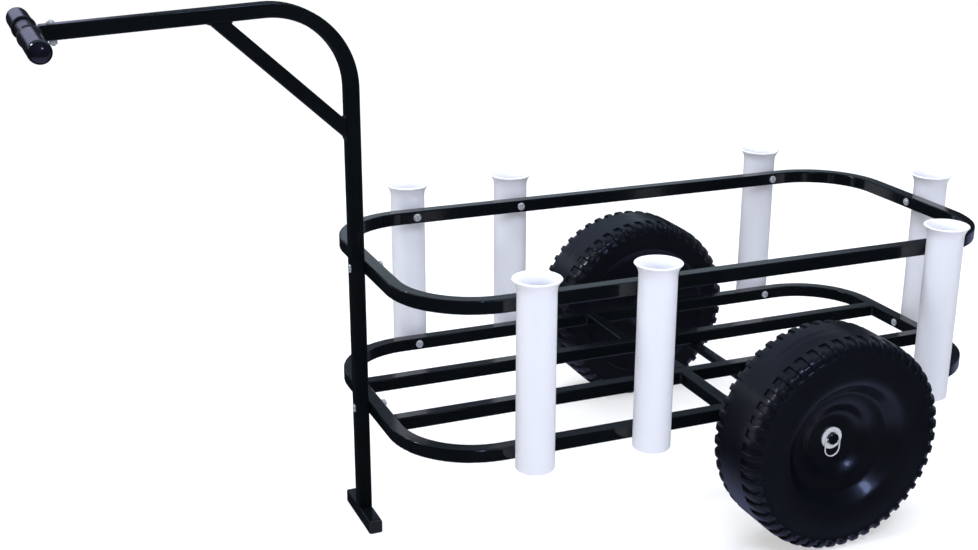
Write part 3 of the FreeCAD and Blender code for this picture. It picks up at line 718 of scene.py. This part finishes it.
def add_pan_head(build, place, radius, height, recess):
    """Low domed screw head growing along local Z from 0; recess is its cross slot's reach, 0 for none."""
    steps = 64
    slot = 0.62                # half width of the cross slot
    shell = [0.0, 0.35, 0.62, 0.9, 1.4, 1.9, 2.3, 2.6, 2.9, 3.4, 4.2, 5.0, 5.7, 6.3, 6.7]
    stations = [r / shell[-1] * radius for r in shell]
    rings = []
    for r in stations[1:]:
        ring = []
        t = r / radius
        crown = height * (1.0 - t ** 2.6) ** 0.42 * 0.86 + height * 0.14
        for k in range(steps):
            a = TAU * (k + 0.5) / steps
            x, y = r * math.cos(a), r * math.sin(a)
            z = crown
            if min(abs(x), abs(y)) < slot and r < recess:
                z = crown - (1.1 - 0.3 * r / recess) * min(1.0, (recess - r) / 0.3)
            ring.append(Vector((x, y, z)))
        rings.append(ring)
    turns = [TAU * (k + 0.5) / steps for k in range(steps)]
    rings.append([Vector((radius * math.cos(a), radius * math.sin(a), 0.0)) for a in turns])
    rings = [[place @ (v * MM) for v in ring] for ring in rings]
    build.grid_tube(rings)


screws = Build()
for low, high, _ in islands("holder_screws"):
    # each screw is long in one level direction; its head is the end inside the basket
    mid = (low + high) / 2.0
    size = high - low
    if size.x > size.y:
        inward = Vector((-1, 0, 0))
        base = Vector((low.x + SCREW_HEAD * MM, mid.y, mid.z))
        tip = Vector((high.x, mid.y, mid.z))
    else:
        inward = Vector((0, -1 if mid.y > 0 else 1, 0))
        near_end, far_end = (low.y, high.y) if mid.y > 0 else (high.y, low.y)
        base = Vector((mid.x, near_end - inward.y * SCREW_HEAD * MM, mid.z))
        tip = Vector((mid.x, far_end, mid.z))
    turn = RNG.uniform(0.0, math.pi)
    lean = UP * math.cos(turn) + inward.cross(UP) * math.sin(turn)
    place = frame_at(base, inward, lean)
    radius = min(size.z, 14.0 * MM) / 2.0 / MM
    add_pan_head(screws, place, radius - 0.05, SCREW_HEAD - 0.2, 2.7)
    reach = (tip - base).length / MM
    add_thread(screws, frame_at(base, -inward, lean), M6_THREAD, -0.3, reach - 0.05)
screws.done("holder_screws_detail", ZINC, "frame", ("holder_screws",), math.radians(40.0))

nuts = Build()
for low, high, _ in islands("holder_nuts"):
    mid = (low + high) / 2.0
    size = high - low
    along = Vector((1, 0, 0)) if size.x < size.y else Vector((0, 1, 0))
    half = min(size.x, size.y) / 2.0 / MM
    add_nut(nuts, frame_at(mid, along, UP), M6_FLATS, -half + 0.02, half - 0.02, 3.1)
nuts.done("holder_nuts_detail", ZINC, "frame", ("holder_nuts",))

# handle bolt: washer and pan head above; washer, nut and thread end below
BOLT_BACK = 31.5           # from the T bar's axis back along the handle
bolt_foot = T_AXIS - GRIP_ALONG * BOLT_BACK * MM
seat = frame_at(bolt_foot, GRIP_UP, (0, 1, 0.2))
build = Build()
add_disc(build, seat, 5.95, TUBE_HALF, TUBE_HALF + M6_WASHER, 2.6)
head_seat = seat @ Matrix.Translation((0.0, 0.0, (TUBE_HALF + 1.3) * MM))
add_pan_head(build, head_seat, 5.6, 4.1, 0.0)
down = frame_at(bolt_foot, -GRIP_UP, (0, 1, 0))
add_thread(build, down, M6_THREAD, -TUBE_HALF - 1.0, TUBE_HALF + M6_WASHER + M6_NUT + TAIL)
build.done("handle_bolt_detail", ZINC, "frame", ("handle_bolt",))
build = Build()
under = frame_at(bolt_foot, -GRIP_UP, (0.3, 1, 0))
add_disc(build, under, 6.0, TUBE_HALF, TUBE_HALF + M6_WASHER, 3.1)
add_nut(build, under, M6_FLATS, TUBE_HALF + M6_WASHER, TUBE_HALF + 6.5, 3.05)
build.done("handle_nut_detail", ZINC, "frame", ("handle_bolt_nut",))

# post bolts: low round heads on the post, hexagon nuts inside the rails
build = Build()
for low, high, _ in islands("post_bolts"):
    mid = (low + high) / 2.0
    start = Vector((-TUBE_HALF * MM, mid.y, mid.z))
    add_pan_head(build, frame_at(start, (-1, 0, 0), UP), 6.75, 2.15, 0.0)
    reach = (high.x - start.x) / MM
    add_thread(build, frame_at(start, (1, 0, 0), UP), M8_THREAD, -0.5, reach - 0.05)
build.done("post_bolts_detail", ZINC, "frame", ("post_bolts",), math.radians(40.0))
build = Build()
for low, high, _ in islands("post_bolt_nuts"):
    mid = (low + high) / 2.0
    place = frame_at((low.x, mid.y, mid.z), (1, 0, 0), (0, 0.4, 1))
    add_disc(build, place, 7.95, 0.02, 1.6, 4.1)
    add_nut(build, place, M8_FLATS, 1.6, 8.05, 4.05)
build.done("post_nuts_detail", ZINC, "frame", ("post_bolt_nuts",))

# ---------- axle ends: washers and wire loops ----------
build = Build()
for low, high, _ in islands("axle_washers"):
    mid = (low + high) / 2.0
    half = (high.y - low.y) / 2.0 / MM
    add_disc(build, frame_at(mid, (0, 1, 0), UP), (high.z - low.z) / 2.0 / MM, -half, half, 9.85, 0.55)
build.done("axle_washers_detail", NICKEL, "frame", ("axle_washers",))


def add_wire_loop(name, node, body):
    """Pin through the axle, two straight sides, round bottom."""
    pin = joint_place(body)
    wire, half, bend, side = 1.2, 13.5, 3.0, 17.0  # radius, half width, corner radius, length of a side
    points = [(x, 0.0) for x in (0.0, 4.0, 8.0)]
    for k in range(6):
        a = math.radians(90.0 - 18.0 * k)
        points.append((half - bend + bend * math.cos(a), -bend + bend * math.sin(a)))
    points += [(half, -7.0), (half, -12.0)]
    for k in range(17):
        a = math.radians(-11.25 * k)
        points.append((half * math.cos(a), -side + half * math.sin(a)))
    points += [(-half, -12.0), (-half, -7.0)]
    for k in range(6):
        a = math.radians(180.0 - 18.0 * k)
        points.append((-half + bend + bend * math.cos(a), -bend + bend * math.sin(a)))
    points += [(-8.0, 0.0), (-4.0, 0.0)]
    loop = Build()
    loop.loop_tube([pin + Vector((x, 0.0, z)) * MM for x, z in points], wire * MM)
    loop.done(name, STEEL, body, (node,), math.radians(80.0))


add_wire_loop("ring_near_wire", "axle_ring_near", "near_ring")
add_wire_loop("ring_far_wire", "axle_ring_far", "far_ring")


# ---------- foot plugs ----------
PLUG_HEAD = 3.0
build = Build()
for low, high, _ in islands("foot_plugs"):
    out = 1.0 if high.y > 0 else -1.0
    face = (high.y if out > 0 else -low.y) / MM
    neck = face - PLUG_HEAD
    mid_z = (low.z + high.z) / 2.0
    rings = []
    for half, corner, along in ((9.2, 1.0, neck - 11.8), (9.3, 1.0, neck - 0.1),
                                (10.6, 2.4, neck), (11.0, 2.6, neck + 0.25),
                                (11.08, 2.7, neck + 0.8), (11.05, 2.7, face - 1.3),
                                (10.7, 2.8, face - 0.6), (9.9, 2.9, face - 0.2), (8.4, 2.9, face - 0.05),
                                (4.0, 2.0, face - 0.35)):
        ring = []
        for base, qx, qz in ((0.0, 1, 1), (90.0, -1, 1), (180.0, -1, -1), (270.0, 1, -1)):
            for k in range(6):
                a = math.radians(base + 18.0 * k)
                x = qx * (half - corner) + corner * math.cos(a)
                z = qz * (half - corner) + corner * math.sin(a)
                ring.append(Vector((x * MM, out * along * MM, mid_z + z * MM)))
        rings.append(ring)
    build.grid_tube(rings)
build.done("foot_plugs_detail", PLUG, "frame", ("foot_plugs",), math.radians(50.0))


# ---------- welds ----------
BRACE_LEG = 3.4
DECK_LEG = 2.7
DECK_SEED = 21             # the first deck weld's; each later one has the next


def add_weld(build, start, end, way_a, way_b, leg, seed):
    """Rippled fillet weld along the corner from start to end, built up on two faces."""
    a, b = Vector(way_a).normalized(), Vector(way_b).normalized()
    run = end - start
    length = run.length / MM
    rows = max(8, int(length / 0.45))
    rng = random.Random(seed)
    drift = rng.uniform(0.0, 9.0)
    rings = []
    for i in range(rows + 1):
        t = i / rows
        ends = min(1.0, 0.35 + 2.2 * math.sqrt(max(0.0, min(t, 1.0 - t)) * length / leg / 2.2))
        ripple = 1.0 + 0.055 * math.sin(length * t / 1.7 * TAU + drift) + 0.05 * math.sin(t * 5.0 + drift)
        size = leg * min(1.0, ends) * ripple * MM
        at = start + run * t
        ring = [at - (a + b) * 0.0004]
        for k in range(7):
            u = k / 6.0
            belly = 1.0 + 0.32 * math.sin(u * math.pi)
            ring.append(at + (a * (1.0 - u) + b * u) * size * belly)
        rings.append(ring)
    build.grid_tube(rings)


build = Build()
for index, (low, high, found) in enumerate(islands("weld_beads")):
    flat = [v for v in found if v.y > (low.y + high.y) / 2.0]
    flat = [Vector((v.x, 0.0, v.z)) for v in flat][:3]
    # the weld's root is the corner whose two sides are most alike
    legs = [abs((flat[(k + 1) % 3] - flat[k]).length - (flat[k - 1] - flat[k]).length) for k in range(3)]
    root = legs.index(min(legs))
    way_a = flat[(root + 1) % 3] - flat[root]
    way_b = flat[root - 1] - flat[root]
    corner = flat[root]
    start = Vector((corner.x, low.y, corner.z))
    end = Vector((corner.x, high.y, corner.z))
    add_weld(build, start, end, way_a, way_b, BRACE_LEG, index)
build.done("brace_welds", WELD, "frame", ("weld_beads",), math.radians(60.0))


def deck_corners():
    """(x, y, x_way, y_way, z_low, z_high) of each weld down the side of a tube or bracket at a rail."""
    inset = 3.0 * MM
    for node in ("slat_near", "slat_far"):
        low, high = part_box(node)
        for x, x_way in ((low.x, 1), (high.x, -1)):
            for y, y_way in ((low.y, -1), (high.y, 1)):
                yield x, y, x_way, y_way, low.z + inset, high.z - inset
    for node in ("cross_near", "cross_middle", "cross_far"):
        low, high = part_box(node)
        for y, y_way in ((low.y, 1), (high.y, -1)):
            for x, x_way in ((low.x, -1), (high.x, 1)):
                yield x, y, x_way, y_way, low.z + inset, high.z - inset
    rail_low, rail_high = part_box("lower_rail")
    for node, face, out in (("axle_bracket_near", rail_low.y, -1), ("axle_bracket_far", rail_high.y, 1)):
        low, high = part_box(node)
        for x, x_way in ((low.x, -1), (high.x, 1)):
            yield x, face, x_way, out, rail_low.z + inset, high.z - 1.5 * MM


deck = Build()
for seed, (x, y, x_way, y_way, z_low, z_high) in enumerate(deck_corners(), DECK_SEED):
    start, end = Vector((x, y, z_low)), Vector((x, y, z_high))
    add_weld(deck, start, end, (x_way, 0, 0), (0, y_way, 0), DECK_LEG, seed)
deck.done("deck_welds", WELD, "frame", (), math.radians(60.0))


# ---------- stage ----------
FLOOR_HALF = 30.0
FLOOR_GLOW = (0.52, 0.78)      # emission near the cart and far from it
FLOOR_FADE = (1.6, 4.5)        # distances from the origin between which it rises
SHELL_COLOUR = (0.97, 0.98, 1.0)
BACKDROP_RADIUS = 27.0
FILL_RADIUS = 28.0
FILL_STRENGTH = 0.38


def emission(name, colour, strength):
    """A material that only glows."""
    mat = bpy.data.materials.new(name)
    mat.use_nodes = True
    tree = mat.node_tree
    tree.nodes.clear()
    out = tree.nodes.new("ShaderNodeOutputMaterial")
    glow = tree.nodes.new("ShaderNodeEmission")
    glow.inputs["Color"].default_value = (*colour, 1.0)
    glow.inputs["Strength"].default_value = strength
    tree.links.new(glow.outputs["Emission"], out.inputs["Surface"])
    return mat


def add_floor():
    """Pale paper underfoot, brighter towards the backdrop so that no edge shows."""
    half = FLOOR_HALF
    mesh = bpy.data.meshes.new("floor")
    corners = [(-half, -half, 0), (half, -half, 0), (half, half, 0), (-half, half, 0)]
    mesh.from_pydata(corners, [], [(0, 1, 2, 3)])
    floor = bpy.data.objects.new("floor", mesh)
    bpy.context.scene.collection.objects.link(floor)
    n = Nodes("floor_paper")
    n.put(Roughness=0.9, Specular_IOR_Level=0.0, Emission_Color=(1.0, 1.0, 1.0, 1.0))
    n.into("Base Color", n.tones(n.noise(0.7), (0.50, 0.50, 0.50), (0.52, 0.52, 0.52)))
    away = n.tree.nodes.new("ShaderNodeVectorMath")
    away.operation = "LENGTH"
    n.link(n.place, away.inputs[0])
    n.into("Emission Strength", n.spread(away.outputs["Value"], *FLOOR_GLOW, *FLOOR_FADE))
    mesh.materials.append(n.mat)
    floor.visible_glossy = False


def add_shell(name, radius, strength, for_camera):
    """A sphere round everything: one is the white backdrop, the other only fills the shadows."""
    mesh = bpy.data.meshes.new(name)
    bm = bmesh.new()
    bmesh.ops.create_uvsphere(bm, u_segments=48, v_segments=24, radius=radius)
    bm.to_mesh(mesh)
    bm.free()
    shell = bpy.data.objects.new(name, mesh)
    bpy.context.scene.collection.objects.link(shell)
    mesh.materials.append(emission(name + "_glow", SHELL_COLOUR, strength))
    shell.visible_camera = for_camera
    shell.visible_diffuse = not for_camera
    shell.visible_glossy = False
    shell.visible_shadow = False
    shell.visible_transmission = False


# What polished faces mirror, each as a colour and soft-edged bands of the direction's X, Y and Z:
# a dark room, a strip up behind, a low card behind on the left, the pale floor, a card low on the right.
ROOM_DARK = (0.012, 0.014, 0.021)
CARDS = (
    ((0.22, 0.27, 0.37), (("Z", 0.34, 0.50), ("Y", 0.0, 0.3))),
    ((0.50, 0.60, 0.70), (("X", 0.64, 0.50), ("Y", 0.4, 0.6), ("Z", 0.19, 0.25), ("Z", 0.37, 0.31))),
    ((0.44, 0.46, 0.67), (("X", 0.135, 0.07), ("X", -0.45, -0.25), ("Y", 0.4, 0.6), ("Z", 0.01, 0.07),
                          ("Z", 0.40, 0.28))),
    ((0.28, 0.31, 0.53), (("Z", -0.45, -0.80),)),
    ((0.26, 0.30, 0.50), (("X", 0.60, 0.90), ("Y", -0.15, 0.20), ("Z", -0.05, -0.25))),
)


def add_world():
    """What glossy surfaces see beyond the lights."""
    world = bpy.data.worlds.new("studio")
    bpy.context.scene.world = world
    world.use_nodes = True
    tree = world.node_tree
    back = tree.nodes["Background"]
    coord = tree.nodes.new("ShaderNodeTexCoord")
    split = tree.nodes.new("ShaderNodeSeparateXYZ")
    tree.links.new(coord.outputs["Generated"], split.inputs["Vector"])

    def band(axis, start, end):
        """0 at start and 1 at end, in whichever direction end lies."""
        node = tree.nodes.new("ShaderNodeMapRange")
        node.interpolation_type = "SMOOTHSTEP"
        rising = start < end
        node.inputs["From Min"].default_value = min(start, end)
        node.inputs["From Max"].default_value = max(start, end)
        node.inputs["To Min"].default_value = 0.0 if rising else 1.0
        node.inputs["To Max"].default_value = 1.0 if rising else 0.0
        tree.links.new(split.outputs[axis], node.inputs["Value"])
        return node.outputs["Result"]

    def times(a, b):
        node = tree.nodes.new("ShaderNodeMath")
        node.operation = "MULTIPLY"
        tree.links.new(a, node.inputs[0])
        tree.links.new(b, node.inputs[1])
        return node.outputs["Value"]

    seen = None
    for colour, bands in CARDS:
        part = None
        for edge in bands:
            here = band(*edge)
            part = here if part is None else times(part, here)
        blend = tree.nodes.new("ShaderNodeMix")
        blend.data_type = "RGBA"
        low, high = [s for s in blend.inputs if s.type == "RGBA"]
        if seen is None:
            low.default_value = (*ROOM_DARK, 1.0)
        else:
            tree.links.new(seen, low)
        high.default_value = (*colour, 1.0)
        tree.links.new(part, blend.inputs["Factor"])
        seen = [s for s in blend.outputs if s.type == "RGBA"][0]
    tree.links.new(seen, back.inputs["Color"])
    back.inputs["Strength"].default_value = 1.0


# name, place, aim, size, watts, colour, and whether glossy faces mirror it
LIGHTS = (
    ("overhead", (0.4, 0.2, 3.2), (0.4, 0.1, 0.0), (4.2, 2.6), 148.0, (0.90, 0.92, 1.0), False),
    ("front_fill", (0.0, -1.7, 2.1), (0.3, -0.2, 0.3), (1.6, 1.0), 31.0, (0.93, 0.95, 1.0), False),
    ("key_front", (0.25, -1.7, 1.85), (0.3, -0.1, 0.4), (0.50, 0.20), 8.5, (0.42, 0.55, 1.0), True),
    ("rim_left", (-1.75, 0.75, 2.3), (-0.3, 0.0, 0.6), (0.22, 0.22), 22.0, (0.92, 0.96, 1.0), True),
)


def add_area(name, place, target, size, power, colour, mirrored):
    """A rectangular lamp turned towards its target."""
    data = bpy.data.lights.new(name, "AREA")
    data.shape = "RECTANGLE"
    data.size, data.size_y = size
    data.energy = power
    data.color = colour
    light = bpy.data.objects.new(name, data)
    aim = (Vector(target) - Vector(place)).to_track_quat("-Z", "Y")
    light.matrix_world = Matrix.Translation(Vector(place)) @ aim.to_matrix().to_4x4()
    light.visible_glossy = mirrored
    bpy.context.scene.collection.objects.link(light)


add_floor()
add_shell("backdrop", BACKDROP_RADIUS, 1.0, True)
add_shell("fill", FILL_RADIUS, FILL_STRENGTH, False)
add_world()
for light in LIGHTS:
    add_area(*light)
bpy.context.scene.view_settings.view_transform = "Standard"
